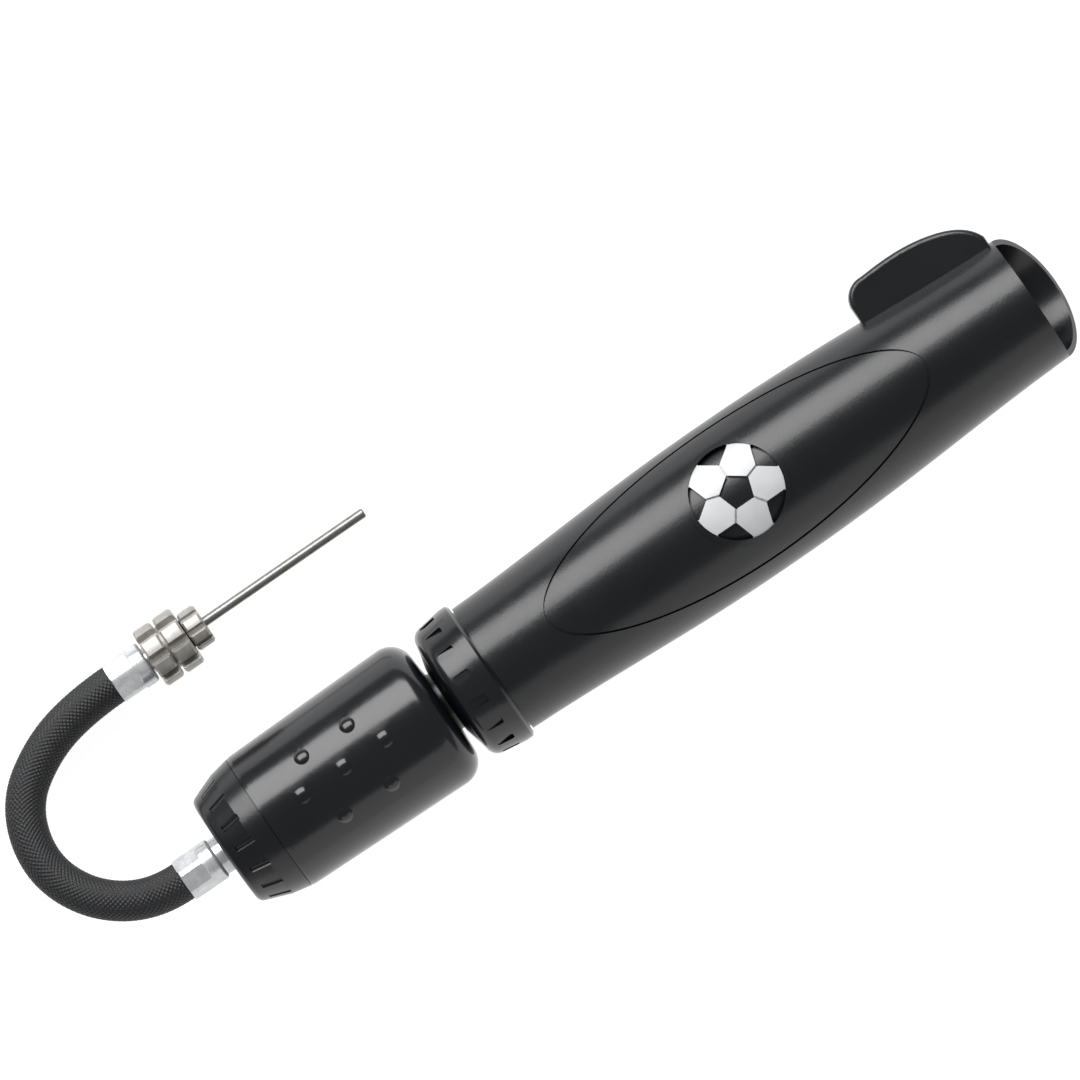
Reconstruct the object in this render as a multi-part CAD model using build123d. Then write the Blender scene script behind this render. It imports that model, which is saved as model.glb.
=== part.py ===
from build123d import *
import os
from math import atan, degrees, pi, radians, sin, tan

# Ball inflation pump, stored lying on its side with the handle pushed home.
# Every outline below is (station, radius): the station runs along the pump's axis from the
# face of the grip's end cap, and the radius is measured from that axis. All sizes are in mm.

# ---- driving dimensions -------------------------------------------------------------------
PUMP_LENGTH = 207.1         # end cap face to the tip of the hood
BELLY_RADIUS = 17.13        # the widest place of the handle
FIN_TOP = 23.7              # how far the thumb fin stands from the axis
BORE_RADIUS = 10.5          # inside of the barrel
TUBE_RADIUS = 11.7          # outside of the barrel
ROD_RADIUS = 6.7
ROD_BORE_RADIUS = 4.6
SPIGOT_RADIUS = 4.55        # the piston's spigot in the rod
RUNNING = 0.05              # radial clearance of every running fit

CAP_END = 10.7              # end cap to grip shell seam
GRIP_END = 54.3
COLLAR_START = 54.9
COLLAR_END = 66.0
MOUTH_NEAR = 200.1          # the hooded end is cut square on its near half
SHELL_WALL = 2.2

HOSE_RADIUS = 4.25
HOSE_CRIMPED = 3.9          # the hose where a ferrule squeezes it
HOSE_BORE = 2.0
FERRULE_RADIUS = 4.7
CRIMP_FLAT = 4.3            # axis to crimp flat
NEEDLE_Y = 41.45            # the needle's axis, from the pump's axis
NEEDLE_RADIUS = 1.05
NEEDLE_TAIL_RADIUS = 0.8    # where it is soldered into its base
NUT_RADIUS = 6.75
NUT_ROOT = 5.35             # the valleys between the nut's teeth
NEEDLE_Z = NUT_RADIUS - BELLY_RADIUS     # the nut rests on the surface the pump lies on

# Route of the hose's centre: from the mouth of the grip's ferrule to the mouth of the other.
HOSE_ROUTE = [
    (-10.5, 0.0, 0.0),
    (-17.8, 0.0, 0.0),
    (-28.5, 7.3, -2.8),
    (-33.4, 19.0, -5.8),
    (-29.7, 31.8, -8.5),
    (-18.9, 38.9, -9.9),
    (-7.4, NEEDLE_Y, NEEDLE_Z),
    (0.2, NEEDLE_Y, NEEDLE_Z),
]

BADGE_STATION = 128.0
BADGE_TURN = 6.0            # degrees that the badge and the oval are turned towards the fin
BADGE_RADIUS = 10.0
BADGE_SEAM = 0.5


# ---- helpers ------------------------------------------------------------------------------
def turned(outline, rounds=()):
    """A solid of revolution about the axis; rounds lists (corner number, radius)."""
    face = make_face(Polyline(*outline, close=True))
    for corner, radius in rounds:
        vertex = face.vertices().sort_by_distance(Vector(*outline[corner]))[0]
        face = fillet(vertex, radius)
    return revolve(face, Axis.X)


def rod(radius, start, end):
    return turned([(start, 0), (start, radius), (end, radius), (end, 0)])


def ring(inner, outer, start, end, rounds=()):
    return turned([(start, inner), (start, outer), (end, outer), (end, inner)], rounds)


def around(count, shape, first=0.0):
    """Copies of a shape spaced evenly about the axis."""
    return [Rot(first + 360 * i / count, 0, 0) * shape for i in range(count)]


def cut_all(solid, cutters):
    for cutter in cutters:
        solid = solid - cutter
    return solid


def at_needle(shape):
    return Pos(0, NEEDLE_Y, NEEDLE_Z) * shape


# ---- handle -------------------------------------------------------------------------------
HANDLE_PROFILE = [
    (COLLAR_END, 14.75),
    (82.0, 15.3),
    (98.6, 16.2),
    (113.0, 16.87),
    (129.4, BELLY_RADIUS),
    (146.0, 16.9),
    (163.0, 16.15),
    (181.0, 15.05),
    (PUMP_LENGTH, 14.2),
]


def handle_body(inset):
    """The handle's outer shape, smaller all round by inset."""
    points = [(station, radius - inset) for station, radius in HANDLE_PROFILE]
    first = points[0]
    last = points[-1]
    curve = Spline(*points)
    back = Polyline(last, (last[0], 0), (first[0], 0), first)
    return revolve(make_face([curve, back]), Axis.X)


def fin_plate(inset, half_thickness, root):
    """The thumb fin's plate, from root outwards; inset pulls its outline in."""
    left = 168.7 + inset
    top = FIN_TOP - inset
    right = 199.4 - inset
    outline = [
        Polyline((right, root + 8.0), (right, root), (left, root), (left, 19.3)),
        ThreePointArc((left, 19.3), (170.6 + 0.8 * inset, 22.5 - 0.8 * inset), (174.0 + inset, top - 0.25)),
        Spline((174.0 + inset, top - 0.25), (181.0, top), (190.5, top - 1.3), (197.6 - inset, 18.7 - inset),
               (right, root + 8.0)),
    ]
    plate = extrude(make_face(outline), half_thickness, both=True)
    return plate


def make_handle_shell():
    shell = handle_body(0)
    fin = fin_plate(0, 4.2, 8.0)
    rim = fin.edges().filter_by(lambda edge: abs(abs(edge.center().Z) - 4.2) < 0.01)
    fin = fillet([edge for edge in rim if edge.center().Y > 8.5], 1.0)
    shell = shell + fin
    # the near half of the mouth is square and the far half is cut on a slant
    near = Pos(MOUTH_NEAR + 20, 0, 20) * Box(40, 60, 40)
    slope = degrees(atan((PUMP_LENGTH - MOUTH_NEAR) / 14.2))
    slant = Pos(MOUTH_NEAR, 0, 0) * Rot(0, -slope, 0) * Pos(20, 0, 0) * Box(40, 60, 80)
    far_half = Pos(MOUTH_NEAR, 0, -20) * Box(80, 60, 40)
    shell = shell - near - (slant & far_half)
    # mouth, barrel seat and the hollow between the barrel and the skin
    shell = shell - rod(13.0, 188.0, 230.0) - rod(TUBE_RADIUS, 60.0, 190.0)
    skin = handle_body(SHELL_WALL) & rod(30.0, 76.0, 182.0)
    hollow = skin - rod(TUBE_RADIUS, 60.0, 190.0)
    shell = shell - hollow
    shell = shell - (fin_plate(1.9, 2.4, 8.0) & rod(30.0, 60.0, 181.9))
    # a narrow shadow line beside the collar
    shell = shell - ring(14.0, 16.0, COLLAR_END - 1.0, COLLAR_END + 0.35) + badge_border()
    return cut_all(shell, [oval_groove(), badge_seat()])


def oval_groove():
    """The thin line that frames the panel on the handle's near side."""
    outer = Ellipse(46.75, 14.95)
    inner = Ellipse(46.15, 14.6)
    prism = Pos(127.9, 0, 0) * extrude(outer - inner, 30)
    prism = Rot(-BADGE_TURN, 0, 0) * prism
    return prism & (handle_body(-1.0) - handle_body(0.4))


def badge_border():
    """A low moulded rim around the badge's seat."""
    outer = Circle(BADGE_RADIUS + 1.1)
    prism = Pos(BADGE_STATION, 0, 0) * extrude(outer - Circle(BADGE_RADIUS), 30)
    prism = Rot(-BADGE_TURN, 0, 0) * prism
    return prism & (handle_body(-0.35) - handle_body(0.5))


def badge_seat():
    disc = Pos(BADGE_STATION, 0, 0) * extrude(Circle(BADGE_RADIUS), 30)
    disc = Rot(-BADGE_TURN, 0, 0) * disc
    return disc & (handle_body(-1.0) - handle_body(0.8))


def make_badge_inlay():
    """A plain play ball: five panels around a pentagon gap, on a thin common backing."""
    corner = BADGE_RADIUS * 0.38
    face = Circle(BADGE_RADIUS - 0.05) - RegularPolygon(corner, 5, rotation=90)
    seams = Sketch()
    for i in range(5):
        outward = Rot(0, 0, 72 * i + 90)
        face -= outward * Pos(BADGE_RADIUS * 1.02, 0) * RegularPolygon(corner, 5, rotation=180)
        seams += outward * Pos(BADGE_RADIUS / 2, 0) * Rectangle(BADGE_RADIUS, BADGE_SEAM)
    turn = Rot(-BADGE_TURN, 0, 0) * Pos(BADGE_STATION, 0, 0)
    plate = turn * extrude(face, 30)
    lines = turn * extrude(seams, 30)
    return (plate & (handle_body(-0.15) - handle_body(0.78))) - (lines - handle_body(0.5))


def make_cylinder_tube():
    return ring(BORE_RADIUS, TUBE_RADIUS - 0.02, 59.3, 186.0)


def make_collar():
    collar = turned(
        [(COLLAR_START, 0), (COLLAR_START, 7.6), (COLLAR_START + 1.0, 11.5), (COLLAR_START + 1.6, 15.0),
         (63.8, 16.1), (65.4, 16.1), (COLLAR_END, 15.4), (COLLAR_END, 0)],
        rounds=[(3, 2.8)],
    )
    collar = collar - rod(ROD_RADIUS + 0.3, 50.0, 70.0) - rod(TUBE_RADIUS, 59.2, 70.0)
    pocket = Pos(60.4, 0, 15.15) * extrude(RectangleRounded(3.8, 2.0, 0.5), 3.0)
    return cut_all(collar, around(16, pocket, first=-8.0))


def make_end_plug():
    plug = turned([(182.6, 0), (182.6, BORE_RADIUS - 0.02), (186.02, BORE_RADIUS - 0.02), (186.02, TUBE_RADIUS - 0.02),
                   (188.0, TUBE_RADIUS - 0.02), (188.0, 0)])
    plug = plug - ring(9.0, 12.0, 183.4, 185.0) - rod(1.4, 180.0, 190.0)
    inlet = Pos(185, 4.0, 0) * Rot(0, 90, 0) * Cylinder(0.9, 10)
    return cut_all(plug, around(6, inlet))


def make_end_plug_ring():
    return revolve(Pos(184.2, 9.75) * Circle(0.74), Axis.X)


def make_inlet_rivet():
    head = turned([(179.7, 0), (179.7, 2.0), (180.1, 3.0), (180.6, 3.0), (180.6, 0)])
    stem = rod(1.4, 180.6, 188.0)
    button = turned([(188.0, 0), (188.0, 2.6), (188.5, 2.3), (188.9, 1.2), (188.9, 0)])
    return head + stem + button


def make_inlet_disc():
    return ring(1.4 + 0.1, 6.2, 181.65, 182.45)


# ---- the bush in the collar that the rod runs through ---------------------------------------
def make_rod_guide():
    guide = ring(ROD_RADIUS + RUNNING, BORE_RADIUS - RUNNING, 59.3, 66.3)
    return guide - ring(6.0, 8.8, 62.6, 64.9)


def make_rod_seal():
    return ring(ROD_RADIUS + 0.03, 8.78, 62.7, 64.8, rounds=[(1, 0.8), (2, 0.8)])


def make_stroke_bumper():
    return ring(ROD_RADIUS + 0.4, BORE_RADIUS - 0.5, 66.32, 68.4, rounds=[(2, 0.7), (3, 0.7)])


# ---- rod and piston -------------------------------------------------------------------------
def make_piston_rod():
    return ring(ROD_BORE_RADIUS, ROD_RADIUS, 19.0, 166.0)


def make_piston_body():
    body = turned([
        (158.0, 0), (158.0, SPIGOT_RADIUS), (166.02, SPIGOT_RADIUS), (166.02, ROD_RADIUS),
        (171.2, ROD_RADIUS), (171.2, 10.2), (174.6, 10.2), (174.6, 8.0), (177.9, 8.0), (177.9, 10.2),
        (179.3, 10.2), (179.3, 0),
    ])
    body = body - rod(2.4, 150.0, 171.0)
    port = Pos(169.5, 0, 5) * Cylinder(1.1, 10)
    notch = Pos(172.9, 0, 9.6) * Box(3.6, 2.4, 2.4)
    return cut_all(body, around(4, port) + around(6, notch, first=45.0))


def make_piston_ring():
    return ring(8.15, BORE_RADIUS - 0.04, 175.65, 177.85, rounds=[(1, 0.7), (2, 0.7)])


# ---- grip -----------------------------------------------------------------------------------
# grip dots: how far round the grip each row lies, in degrees, and the stations in it
DOTS = [
    (-27.5, (24.2, 35.5)),
    (-2.9, (19.9, 30.1, 40.2)),
    (28.0, (24.8, 36.3)),
]


def make_grip_shell():
    shell = turned(
        [(CAP_END + 0.15, 0), (CAP_END + 0.15, 15.6), (11.6, 15.75), (30.0, 16.1), (GRIP_END - 0.7, 16.5),
         (GRIP_END, 7.0), (GRIP_END, 0)],
        rounds=[(4, 5.2)],
    )
    for turn, stations in DOTS:
        for station in stations:
            radius = 15.7 + (station - 11.6) * 0.0205
            dot = Pos(station, 0, radius - 2.4) * Sphere(2.95)
            shell = shell + Rot(turn, 0, 0) * dot + Rot(turn + 180, 0, 0) * dot
    cavity = turned([(0, 0), (0, 13.6), (46.0, 13.6), (51.2, 9.0), (51.2, 0)])
    return shell - cavity - rod(ROD_RADIUS + 0.02, 40.0, 60.0)


def make_grip_end_cap():
    cap = turned(
        [(0, 0), (0, 12.3), (2.3, 13.2), (6.4, 14.75), (CAP_END, 15.6), (CAP_END, 13.55), (15.0, 13.55), (15.0, 0)],
        rounds=[(1, 1.6), (2, 3.0)],
    )
    cap = cap - rod(12.0, 3.0, 20.0)
    boss = rod(8.0, 2.5, 12.0)
    notch = Pos(4.4, 0, 14.35) * Rot(0, 70.4, 0) * Cylinder(0.8, 4.6)
    cap = cut_all(cap + boss, around(16, notch, first=4.0))
    return cap - rod(5.5, 1.2, 20.0) - rod(4.3, -5.0, 5.0)


def make_outlet_fitting():
    body = turned([(1.25, 0), (1.25, 5.45), (12.1, 5.45), (12.1, 9.0), (14.2, 9.0), (14.2, 3.4), (17.5, 3.4), (17.5, 0)])
    return body - rod(2.95, 0.0, 9.2) - rod(1.8, 5.0, 20.0)


def make_outlet_gasket():
    return ring(3.5, 8.4, 14.22, 15.2)


def make_rod_anchor():
    block = turned([(15.22, 0), (15.22, 13.5), (20.0, 13.5), (20.0, 10.5), (34.0, 10.5), (34.0, 0)])
    rib = Pos(27.0, 0, 0) * Box(13.99, 26.6, 1.8)
    block = block + rib + Rot(90, 0, 0) * rib
    return block - rod(3.45, 10.0, 20.0) - rod(ROD_RADIUS + 0.02, 18.98, 40.0)


# ---- hose -----------------------------------------------------------------------------------
def corner_radii(route):
    """Each arc takes 0.45 of the shorter run on either side of its corner."""
    radii = []
    for before, corner, after in zip(route, route[1:], route[2:]):
        first = Vector(*corner) - Vector(*before)
        second = Vector(*after) - Vector(*corner)
        half_turn = radians(first.get_angle(second)) / 2
        radii.append(0.45 * min(first.length, second.length) / tan(half_turn))
    return radii


def make_hose():
    radii = corner_radii(HOSE_ROUTE)
    path = FilletPolyline(*HOSE_ROUTE, radius=radii)
    start = Plane(origin=HOSE_ROUTE[0], z_dir=path % 0)
    free = sweep(start * (Circle(HOSE_RADIUS) - Circle(HOSE_BORE)), path=path)
    expected = pi * (HOSE_RADIUS ** 2 - HOSE_BORE ** 2) * path.length
    print("hose arcs", [round(radius, 1) for radius in radii], "length", round(path.length, 1))
    print("hose volume", round(free.volume), "section times length", round(expected))
    tail = ring(HOSE_BORE, HOSE_CRIMPED, -10.5, -3.6)
    far_tail = at_needle(ring(HOSE_BORE, HOSE_CRIMPED, 0.2, 7.2))
    return free + tail + far_tail


def ferrule():
    """A crimped sleeve with its mouth at 0 and its closed end at 8.5."""
    sleeve = turned([(0, 0), (0, FERRULE_RADIUS), (8.5, FERRULE_RADIUS), (8.5, 0)], rounds=[(1, 0.3), (2, 0.8)])
    sleeve = sleeve - rod(HOSE_CRIMPED + 0.02, -1.0, 7.02) - rod(2.1, 0.0, 10.0)
    # each crimp flat opens at the mouth and runs out on a slant
    side = Polyline((-1, CRIMP_FLAT), (5.2, CRIMP_FLAT), (6.9, 6.0), (-1, 6.0), close=True)
    flat = extrude(Plane.XZ * make_face(side), 6.0, both=True)
    return cut_all(sleeve, around(6, flat, first=12.0))


def make_hose_ferrule_pump():
    return Pos(-10.5, 0, 0) * ferrule()


def make_hose_ferrule_needle():
    return at_needle(Pos(0.2, 0, 0) * Rot(15, 0, 0) * ferrule())


def barb_tail(start, end):
    """The tail that the hose is pushed on to."""
    return rod(HOSE_BORE - 0.03, start, end)


def make_hose_barb_pump():
    barb = barb_tail(-10.0, -2.0) + rod(4.1, -2.0, 0.9) + rod(2.93, 0.9, 9.0)
    return barb - rod(1.1, -12.0, 12.0)


def make_hose_barb_needle():
    barb = barb_tail(0.9, 8.7) + rod(2.9, 8.7, 11.3) + rod(4.0, 11.3, 12.6)
    return at_needle(barb - rod(1.1, 0.0, 14.0))


# ---- connector and needle -------------------------------------------------------------------
def toothed(start, end, crest, root, count, tooth_share, first=0.0):
    """A wheel with rounded square teeth."""
    pitch = 360 / count
    wheel = rod(root, start, end)
    width = 2 * crest * sin(radians(pitch * tooth_share / 2))
    tooth = Pos((start + end) / 2, 0, crest / 2) * Box(end - start, width, crest)
    tooth = fillet(tooth.edges().filter_by(Axis.X).group_by(Axis.Z)[-1], 0.35)
    for copy in around(count, tooth, first):
        wheel = wheel + copy
    return wheel & turned([(start, 0), (start, crest - 0.45), (start + 0.45, crest), (end - 0.45, crest),
                           (end, crest - 0.45), (end, 0)])


def make_connector_nut():
    nut = toothed(9.2, 13.45, NUT_RADIUS, NUT_ROOT, 8, 0.58, first=-17.0)
    nut = nut + rod(4.9, 13.0, 14.5)
    nut = nut + toothed(14.05, 18.4, NUT_RADIUS, NUT_ROOT, 8, 0.58, first=-17.0)
    nut = nut - rod(2.95, 8.0, 12.0) - rod(4.1, 11.25, 13.2) - rod(2.1, 13.0, 20.0)
    return at_needle(nut)


def make_needle_gasket():
    return at_needle(ring(2.1, 3.3, 18.45, 19.3, rounds=[(1, 0.25), (2, 0.25)]))


def make_needle_base():
    base = toothed(18.7, 22.8, 4.5, 3.85, 8, 0.6, first=-17.0)
    base = base - rod(3.4, 18.0, 19.35) + rod(2.05, 14.3, 19.6)
    return at_needle(base - rod(NEEDLE_TAIL_RADIUS + 0.01, 18.08, 23.0) - rod(0.6, 14.0, 18.1))


def make_needle_tube():
    tube = turned(
        [(18.1, 0), (18.1, NEEDLE_TAIL_RADIUS), (22.8, NEEDLE_TAIL_RADIUS), (22.8, NEEDLE_RADIUS),
         (62.7, NEEDLE_RADIUS), (62.7, 0)],
        rounds=[(4, 0.4)],
    )
    return at_needle(tube - rod(0.6, 18.0, 63.0))


# ---- write one file for each piece ----------------------------------------------------------
PIECES = {
    "handle_shell": make_handle_shell,
    "badge_inlay": make_badge_inlay,
    "cylinder_tube": make_cylinder_tube,
    "collar": make_collar,
    "end_plug": make_end_plug,
    "end_plug_ring": make_end_plug_ring,
    "inlet_rivet": make_inlet_rivet,
    "inlet_disc": make_inlet_disc,
    "rod_guide": make_rod_guide,
    "rod_seal": make_rod_seal,
    "stroke_bumper": make_stroke_bumper,
    "piston_rod": make_piston_rod,
    "piston_body": make_piston_body,
    "piston_ring": make_piston_ring,
    "grip_shell": make_grip_shell,
    "grip_end_cap": make_grip_end_cap,
    "outlet_fitting": make_outlet_fitting,
    "outlet_gasket": make_outlet_gasket,
    "rod_anchor": make_rod_anchor,
    "hose": make_hose,
    "hose_ferrule_pump": make_hose_ferrule_pump,
    "hose_ferrule_needle": make_hose_ferrule_needle,
    "hose_barb_pump": make_hose_barb_pump,
    "hose_barb_needle": make_hose_barb_needle,
    "connector_nut": make_connector_nut,
    "needle_gasket": make_needle_gasket,
    "needle_base": make_needle_base,
    "needle_tube": make_needle_tube,
}

# The origin is the middle of the pump's footprint on the surface that it lies on.
TO_ORIGIN = Pos(-PUMP_LENGTH / 2, (BELLY_RADIUS - FIN_TOP) / 2, BELLY_RADIUS)

os.makedirs("parts", exist_ok=True)
for name, make in PIECES.items():
    export_step(TO_ORIGIN * make(), os.path.join("parts", name + ".step"))
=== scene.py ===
"""A ball inflation pump's looks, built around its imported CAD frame."""

import math

import bpy
import numpy as np
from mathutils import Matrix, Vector


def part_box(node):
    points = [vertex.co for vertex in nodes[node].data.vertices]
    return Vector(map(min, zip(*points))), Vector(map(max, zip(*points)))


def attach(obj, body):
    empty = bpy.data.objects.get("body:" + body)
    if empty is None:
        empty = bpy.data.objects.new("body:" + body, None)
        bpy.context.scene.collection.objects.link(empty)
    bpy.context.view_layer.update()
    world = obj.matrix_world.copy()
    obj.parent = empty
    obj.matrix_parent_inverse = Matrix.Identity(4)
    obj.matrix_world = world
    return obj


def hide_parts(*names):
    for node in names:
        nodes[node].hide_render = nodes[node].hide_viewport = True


MM = 0.001

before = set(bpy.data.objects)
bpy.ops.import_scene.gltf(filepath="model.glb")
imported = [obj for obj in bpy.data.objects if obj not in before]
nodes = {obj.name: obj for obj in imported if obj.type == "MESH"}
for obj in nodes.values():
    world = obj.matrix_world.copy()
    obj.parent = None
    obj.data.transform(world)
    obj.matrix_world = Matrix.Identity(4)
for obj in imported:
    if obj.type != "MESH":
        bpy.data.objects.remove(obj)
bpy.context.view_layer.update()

# ---- places, all taken from the frame ---------------------------------------------------------
CAP_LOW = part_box("grip_end_cap")[0]
TUBE_LOW, TUBE_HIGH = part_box("cylinder_tube")
NEEDLE_LOW, NEEDLE_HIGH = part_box("needle_tube")

CAP_FACE = CAP_LOW.x                              # station 0 of the pump's own axis
AXIS_Y = (TUBE_LOW.y + TUBE_HIGH.y) / 2
AXIS_Z = (TUBE_LOW.z + TUBE_HIGH.z) / 2


def at(station, y, z):
    """A point from its distances in mm: along the axis from the end cap's face, and off the axis."""
    return Vector((CAP_FACE + station * MM, AXIS_Y + y * MM, AXIS_Z + z * MM))


# ---- camera -----------------------------------------------------------------------------------
PUMP_ANGLE = math.radians(34.5)                   # how far the pump points up from the picture's level
VIEW_WIDTH = 0.2214
CAMERA_HEIGHT = 2.8
SENSOR = 36.0
PICTURE_MIDDLE = (89.3, 16.2, 0)                  # station and offsets, in mm, under the camera


def make_camera():
    data = bpy.data.cameras.new("camera")
    data.sensor_width = SENSOR
    data.lens = SENSOR * CAMERA_HEIGHT / VIEW_WIDTH
    data.clip_start = 0.1
    data.clip_end = 20
    camera = bpy.data.objects.new("camera", data)
    bpy.context.scene.collection.objects.link(camera)
    camera.location = at(*PICTURE_MIDDLE) + Vector((0, 0, CAMERA_HEIGHT))
    camera.rotation_euler = (0, 0, -PUMP_ANGLE)
    bpy.context.scene.camera = camera


make_camera()

# ---- hose -------------------------------------------------------------------------------------
HOSE_RADIUS = 4.25 * MM
NEEDLE_Y = ((NEEDLE_LOW.y + NEEDLE_HIGH.y) / 2 - AXIS_Y) / MM
NEEDLE_Z = ((NEEDLE_LOW.z + NEEDLE_HIGH.z) / 2 - AXIS_Z) / MM
HOSE_ROUTE = [
    (-10.5, 0.0, 0.0),
    (-17.8, 0.0, 0.0),
    (-28.5, 7.3, -2.8),
    (-33.4, 19.0, -5.8),
    (-29.7, 31.8, -8.5),
    (-18.9, 38.9, -9.9),
    (-7.4, NEEDLE_Y, NEEDLE_Z),
    (0.2, NEEDLE_Y, NEEDLE_Z),
]


def hose_path():
    """The smooth line down the middle of the hose, as points in the row frame."""
    curve = bpy.data.curves.new("hose_line", "CURVE")
    curve.dimensions = "3D"
    spline = curve.splines.new("NURBS")
    spline.points.add(len(HOSE_ROUTE) - 1)
    for point, place in zip(spline.points, HOSE_ROUTE):
        point.co = (*at(*place), 1)
    spline.order_u = 3
    spline.use_endpoint_u = True
    spline.resolution_u = 24
    line = bpy.data.objects.new("hose_line", curve)
    mesh = bpy.data.meshes.new_from_object(line)
    points = np.array([v.co for v in mesh.vertices], float)
    bpy.data.meshes.remove(mesh)
    bpy.data.objects.remove(line)
    return points


def evenly(points, count):
    """The same line with evenly spaced points."""
    steps = np.linalg.norm(np.diff(points, axis=0), axis=1)
    along = np.concatenate([[0], np.cumsum(steps)])
    wanted = np.linspace(0, along[-1], count)
    return np.stack([np.interp(wanted, along, points[:, k]) for k in range(3)], axis=1), along[-1]


def frames_along(points):
    """Two unit vectors across the line at each point, carried along without twisting."""
    tangents = np.gradient(points, axis=0)
    tangents /= np.linalg.norm(tangents, axis=1)[:, None]
    side = np.cross(tangents[0], (0, 0, 1.0))
    side /= np.linalg.norm(side)
    sides = []
    for tangent in tangents:
        side = side - tangent * side.dot(tangent)
        side /= np.linalg.norm(side)
        sides.append(side)
    sides = np.array(sides)
    return sides, np.cross(tangents, sides)


def mesh_object(name, vertices, faces, body):
    mesh = bpy.data.meshes.new(name)
    mesh.from_pydata([tuple(v) for v in vertices], [], faces)
    mesh.update()
    made = bpy.data.objects.new(name, mesh)
    bpy.context.scene.collection.objects.link(made)
    mesh.polygons.foreach_set("use_smooth", [True] * len(mesh.polygons))
    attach(made, body)
    return made


BRAID_RELIEF = 0.3 * MM    # from the bottom of the weave to its top
PLAIT_STARTS = 24          # strands each way round the braid
RINGS = 700
AROUND = 192
STRAND_PITCH = 24.0 * MM   # one strand's advance in a full turn


def braid_height(angle, distance):
    """How far the braid stands at a place on the hose, from 0 in the weave to 1 on top of a strand."""
    right = PLAIT_STARTS * (angle / (2 * math.pi) + distance / STRAND_PITCH)
    left = PLAIT_STARTS * (angle / (2 * math.pi) - distance / STRAND_PITCH)
    over = np.mod(np.floor(right) + np.floor(left), 2) < 1
    right_bump = np.abs(np.sin(np.pi * right))
    left_bump = np.abs(np.sin(np.pi * left))
    crown_right = right_bump ** 0.55 * (0.62 + 0.38 * left_bump)
    crown_left = left_bump ** 0.55 * (0.62 + 0.38 * right_bump)
    return np.where(over, crown_right, crown_left)


def make_hose():
    path = hose_path()
    points, length = evenly(path, RINGS)
    sides, ups = frames_along(points)
    angles = np.linspace(0, 2 * math.pi, AROUND, endpoint=False)
    distances = np.linspace(0, length, RINGS)
    angle, distance = np.meshgrid(angles, distances)
    radius = HOSE_RADIUS - BRAID_RELIEF + BRAID_RELIEF * braid_height(angle, distance)
    around = np.cos(angle)[..., None] * sides[:, None] + np.sin(angle)[..., None] * ups[:, None]
    surface = points[:, None] + radius[..., None] * around
    vertices = list(surface.reshape(-1, 3)) + [points[0], points[-1]]
    faces = []
    for ring in range(RINGS - 1):
        for step in range(AROUND):
            a = ring * AROUND + step
            b = ring * AROUND + (step + 1) % AROUND
            faces.append((a, b, b + AROUND, a + AROUND))
    first, last = len(vertices) - 2, len(vertices) - 1
    end = (RINGS - 1) * AROUND
    for step in range(AROUND):
        following = (step + 1) % AROUND
        faces.append((first, following, step))
        faces.append((last, end + step, end + following))
    hose = mesh_object("braided_hose", vertices, faces, "grip")
    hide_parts("hose")
    return hose


hose = make_hose()

# ---- materials --------------------------------------------------------------------------------


class Nodes:
    """A small helper that adds shader nodes and links them."""

    def __init__(self, name):
        self.material = bpy.data.materials.new(name)
        self.material.use_nodes = True
        self.tree = self.material.node_tree
        self.shader = self.tree.nodes["Principled BSDF"]

    def add(self, kind, inputs=None, **settings):
        node = self.tree.nodes.new(kind)
        for key, value in settings.items():
            setattr(node, key, value)
        for key, value in (inputs or {}).items():
            self.put(node, key, value)
        return node

    def put(self, node, key, value):
        if isinstance(value, bpy.types.NodeSocket):
            self.tree.links.new(value, node.inputs[key])
        else:
            node.inputs[key].default_value = value

    def place(self):
        return self.add("ShaderNodeTexCoord").outputs["Object"]

    def noise(self, scale, detail=3.0, rough=0.55, place=None):
        node = self.add("ShaderNodeTexNoise", {"Scale": scale, "Detail": detail, "Roughness": rough})
        self.put(node, "Vector", place if place is not None else self.place())
        return node.outputs["Fac"]

    def spread(self, value, low, high):
        """value from 0..1 turned into low..high."""
        node = self.add("ShaderNodeMapRange", {"Value": value, "To Min": low, "To Max": high})
        return node.outputs["Result"]

    def ramp(self, value, *stops):
        node = self.add("ShaderNodeValToRGB", {"Fac": value})
        while len(node.color_ramp.elements) < len(stops):
            node.color_ramp.elements.new(0.5)
        for element, (place, colour) in zip(node.color_ramp.elements, stops):
            element.position = place
            element.color = (*colour, 1)
        return node.outputs["Color"]

    def bump(self, height, strength, distance, normal=None):
        node = self.add("ShaderNodeBump", {"Height": height, "Strength": strength, "Distance": distance})
        if normal is not None:
            self.put(node, "Normal", normal)
        return node.outputs["Normal"]

    def look(self, **inputs):
        for key, value in inputs.items():
            self.put(self.shader, key.replace("_", " "), value)
        return self.material


def moulded_plastic(name, colour, rough, grain, grain_scale, coat=0.0):
    """Black moulded plastic: a fine grain, slight flow marks and faint scuffs."""
    n = Nodes(name)
    flow = n.noise(38.0, 4.0, 0.6)
    scuffs = n.noise(900.0, 2.0, 0.5)
    darker = tuple(c * 0.82 for c in colour)
    lighter = tuple(min(1.0, c * 1.22) for c in colour)
    n.put(n.shader, "Base Color", n.ramp(flow, (0.3, darker), (0.7, lighter)))
    n.put(n.shader, "Roughness", n.spread(n.noise(160.0, 4.0, 0.65), rough - 0.05, rough + 0.05))
    fine = n.bump(n.noise(grain_scale, 2.0, 0.5), grain, 0.00008)
    n.put(n.shader, "Normal", n.bump(scuffs, 0.04, 0.0002, fine))
    n.look(IOR=1.5, Coat_Weight=coat, Coat_Roughness=0.12)
    return n.material


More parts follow.
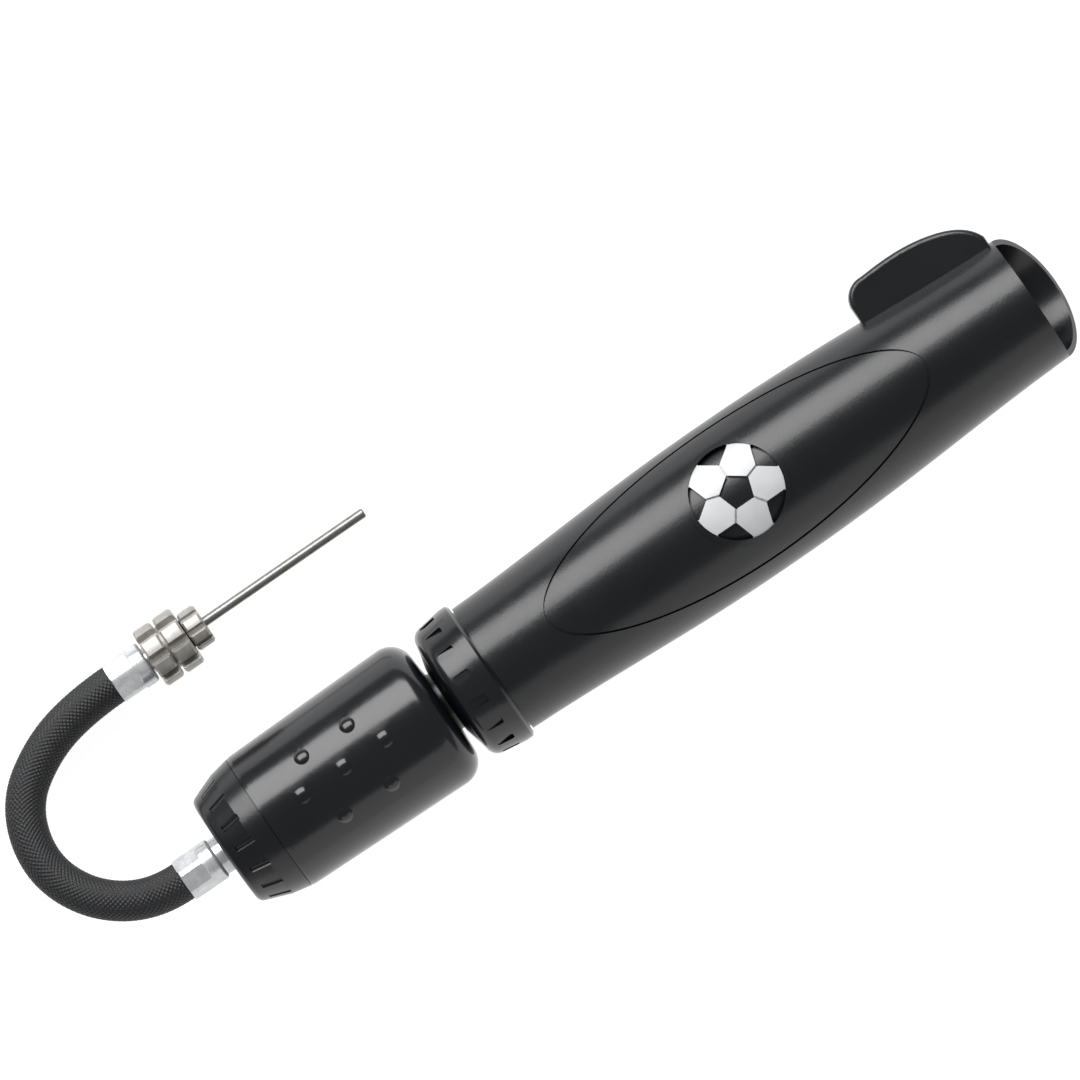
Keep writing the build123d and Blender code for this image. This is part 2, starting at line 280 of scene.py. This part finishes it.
def metal(name, colour, rough, streak_axis, streak=0.5, bare=1.0):
    """Turned or drawn metal with fine streaks around or along its axis, and a little tarnish.

    bare is 1 on a polished surface, and less where blasting or an oxide skin makes it satin."""
    n = Nodes(name)
    stretch = {"along": (8.0, 900.0, 900.0), "around": (1800.0, 60.0, 60.0), "none": (260.0, 260.0, 260.0)}
    mapping = n.add("ShaderNodeMapping", {"Vector": n.place(), "Scale": stretch[streak_axis]})
    lines = n.noise(1.0, 4.0, 0.6, mapping.outputs["Vector"])
    tarnish = n.noise(420.0, 5.0, 0.65)
    darker = tuple(c * 0.72 for c in colour)
    n.put(n.shader, "Base Color", n.ramp(tarnish, (0.28, darker), (0.62, colour)))
    n.put(n.shader, "Roughness", n.spread(lines, rough - 0.08, rough + 0.1))
    n.put(n.shader, "Normal", n.bump(lines, streak, 0.00004))
    n.look(Metallic=bare)
    return n.material


def rubber(name, colour, rough=0.62):
    n = Nodes(name)
    dust = n.noise(500.0, 4.0, 0.6)
    n.put(n.shader, "Base Color", n.ramp(dust, (0.35, colour), (0.8, tuple(c * 1.8 + 0.01 for c in colour))))
    n.put(n.shader, "Roughness", n.spread(n.noise(220.0), rough - 0.06, rough + 0.08))
    n.put(n.shader, "Normal", n.bump(n.noise(1600.0, 3.0), 0.15, 0.00006))
    return n.look(IOR=1.5)


def woven(name):
    """Fine parallel yarns in the hose's braid."""
    n = Nodes(name)
    wear = n.noise(700.0, 3.0, 0.6)
    n.put(n.shader, "Base Color", n.ramp(wear, (0.3, (0.002, 0.0023, 0.003)), (0.75, (0.009, 0.0098, 0.012))))
    n.put(n.shader, "Roughness", n.spread(n.noise(900.0), 0.42, 0.62))
    n.put(n.shader, "Normal", n.bump(n.noise(5200.0, 2.0, 0.5), 0.35, 0.00008))
    return n.look(IOR=1.5, Sheen_Weight=0.04, Sheen_Roughness=0.4)


def dress(node, material):
    for index in range(len(nodes[node].material_slots)):
        nodes[node].material_slots[index].material = material


BLACK = (0.0042, 0.0048, 0.0062)
sleeve_look = moulded_plastic("handle_plastic", BLACK, 0.27, 0.16, 2600.0)
grip_look = moulded_plastic("grip_plastic", BLACK, 0.2, 0.05, 1500.0, 0.15)
collar_look = moulded_plastic("collar_plastic", BLACK, 0.22, 0.06, 1500.0, 0.1)
cap_look = moulded_plastic("cap_plastic", BLACK, 0.26, 0.1, 1800.0)
rod_look = moulded_plastic("rod_plastic", (0.005, 0.005, 0.006), 0.3, 0.05, 900.0)
plug_look = moulded_plastic("plug_plastic", (0.03, 0.03, 0.032), 0.4, 0.2, 2000.0)
guide_look = moulded_plastic("guide_plastic", (0.6, 0.6, 0.57), 0.4, 0.1, 2000.0)
piston_look = moulded_plastic("piston_plastic", (0.66, 0.66, 0.63), 0.38, 0.1, 2000.0)
rivet_look = moulded_plastic("rivet_plastic", (0.35, 0.35, 0.36), 0.4, 0.1, 2000.0)
badge_look = moulded_plastic("badge_white", (0.5, 0.505, 0.515), 0.3, 0.05, 2000.0, 0.1)
seal_look = rubber("seal_rubber", (0.012, 0.012, 0.012))
gasket_look = rubber("gasket_rubber", (0.02, 0.02, 0.02))
braid_look = woven("hose_braid")
hose.data.materials.append(braid_look)

LOOKS = {
    "handle_shell": sleeve_look,
    "badge_inlay": badge_look,
    "cylinder_tube": metal("barrel_aluminium", (0.7, 0.71, 0.73), 0.28, "along"),
    "collar": collar_look,
    "end_plug": plug_look,
    "end_plug_ring": seal_look,
    "inlet_rivet": rivet_look,
    "inlet_disc": seal_look,
    "rod_guide": guide_look,
    "rod_seal": seal_look,
    "stroke_bumper": seal_look,
    "piston_rod": rod_look,
    "piston_body": piston_look,
    "piston_ring": seal_look,
    "grip_shell": grip_look,
    "grip_end_cap": cap_look,
    "outlet_fitting": metal("fitting_brass", (0.78, 0.58, 0.26), 0.24, "around"),
    "outlet_gasket": gasket_look,
    "rod_anchor": plug_look,
    "hose_ferrule_pump": metal(
        "ferrule_aluminium", (0.66, 0.67, 0.69), 0.26, "around", streak=0.12, bare=0.6,
    ),
    "hose_barb_pump": metal("barb_aluminium", (0.62, 0.63, 0.65), 0.26, "around", streak=0.12, bare=0.65),
    "connector_nut": metal("nut_nickel", (0.4, 0.385, 0.36), 0.42, "none", streak=0.3, bare=0.6),
    "needle_gasket": gasket_look,
    "needle_base": metal("base_nickel", (0.4, 0.383, 0.36), 0.42, "none", streak=0.3, bare=0.6),
    "needle_tube": metal("needle_steel", (0.27, 0.265, 0.255), 0.34, "along", streak=0.25, bare=0.8),
}
LOOKS["hose_ferrule_needle"] = LOOKS["hose_ferrule_pump"]
LOOKS["hose_barb_needle"] = LOOKS["hose_barb_pump"]
for node, look in LOOKS.items():
    dress(node, look)


# ---- floor and light --------------------------------------------------------------------------
FLOOR_HALF_WIDTH = 6.0
LIT_FROM = (100, 0, 0)      # station and offsets, in mm, of the place that the lights face


def make_floor():
    mesh = bpy.data.meshes.new("floor")
    far = FLOOR_HALF_WIDTH
    corners = [(-far, -far, 0), (far, -far, 0), (far, far, 0), (-far, far, 0)]
    mesh.from_pydata(corners, [], [(0, 1, 2, 3)])
    floor = bpy.data.objects.new("floor", mesh)
    bpy.context.scene.collection.objects.link(floor)
    n = Nodes("floor")
    # a lit table, so that the pump throws hardly any shadow
    n.look(
        Base_Color=(0.2, 0.2, 0.2, 1), Roughness=0.9,
        Emission_Color=(1, 1, 1, 1), Emission_Strength=0.95,
    )
    floor.data.materials.append(n.material)


def softbox(name, tilt, distance, width, height, power):
    """A soft rectangular light beside the pump, tilted from overhead by tilt degrees towards the fin."""
    data = bpy.data.lights.new(name, "AREA")
    data.shape = "RECTANGLE"
    data.size = width
    data.size_y = height
    data.energy = power
    light = bpy.data.objects.new(name, data)
    bpy.context.scene.collection.objects.link(light)
    direction = Vector((0, math.sin(math.radians(tilt)), math.cos(math.radians(tilt))))
    light.location = at(*LIT_FROM) + direction * distance
    light.rotation_euler = direction.to_track_quat("Z", "Y").to_euler()


def make_lights():
    softbox("key", 46.5, 1.2, 1.6, 0.83, 27)
    softbox("fill", -74, 1.5, 2.2, 1.2, 6.6)
    world = bpy.data.worlds.new("studio")
    world.use_nodes = True
    world.node_tree.nodes["Background"].inputs["Color"].default_value = (1, 1, 1, 1)
    world.node_tree.nodes["Background"].inputs["Strength"].default_value = 0.25
    bpy.context.scene.world = world


make_floor()
make_lights()
bpy.context.scene.view_settings.view_transform = "Standard"
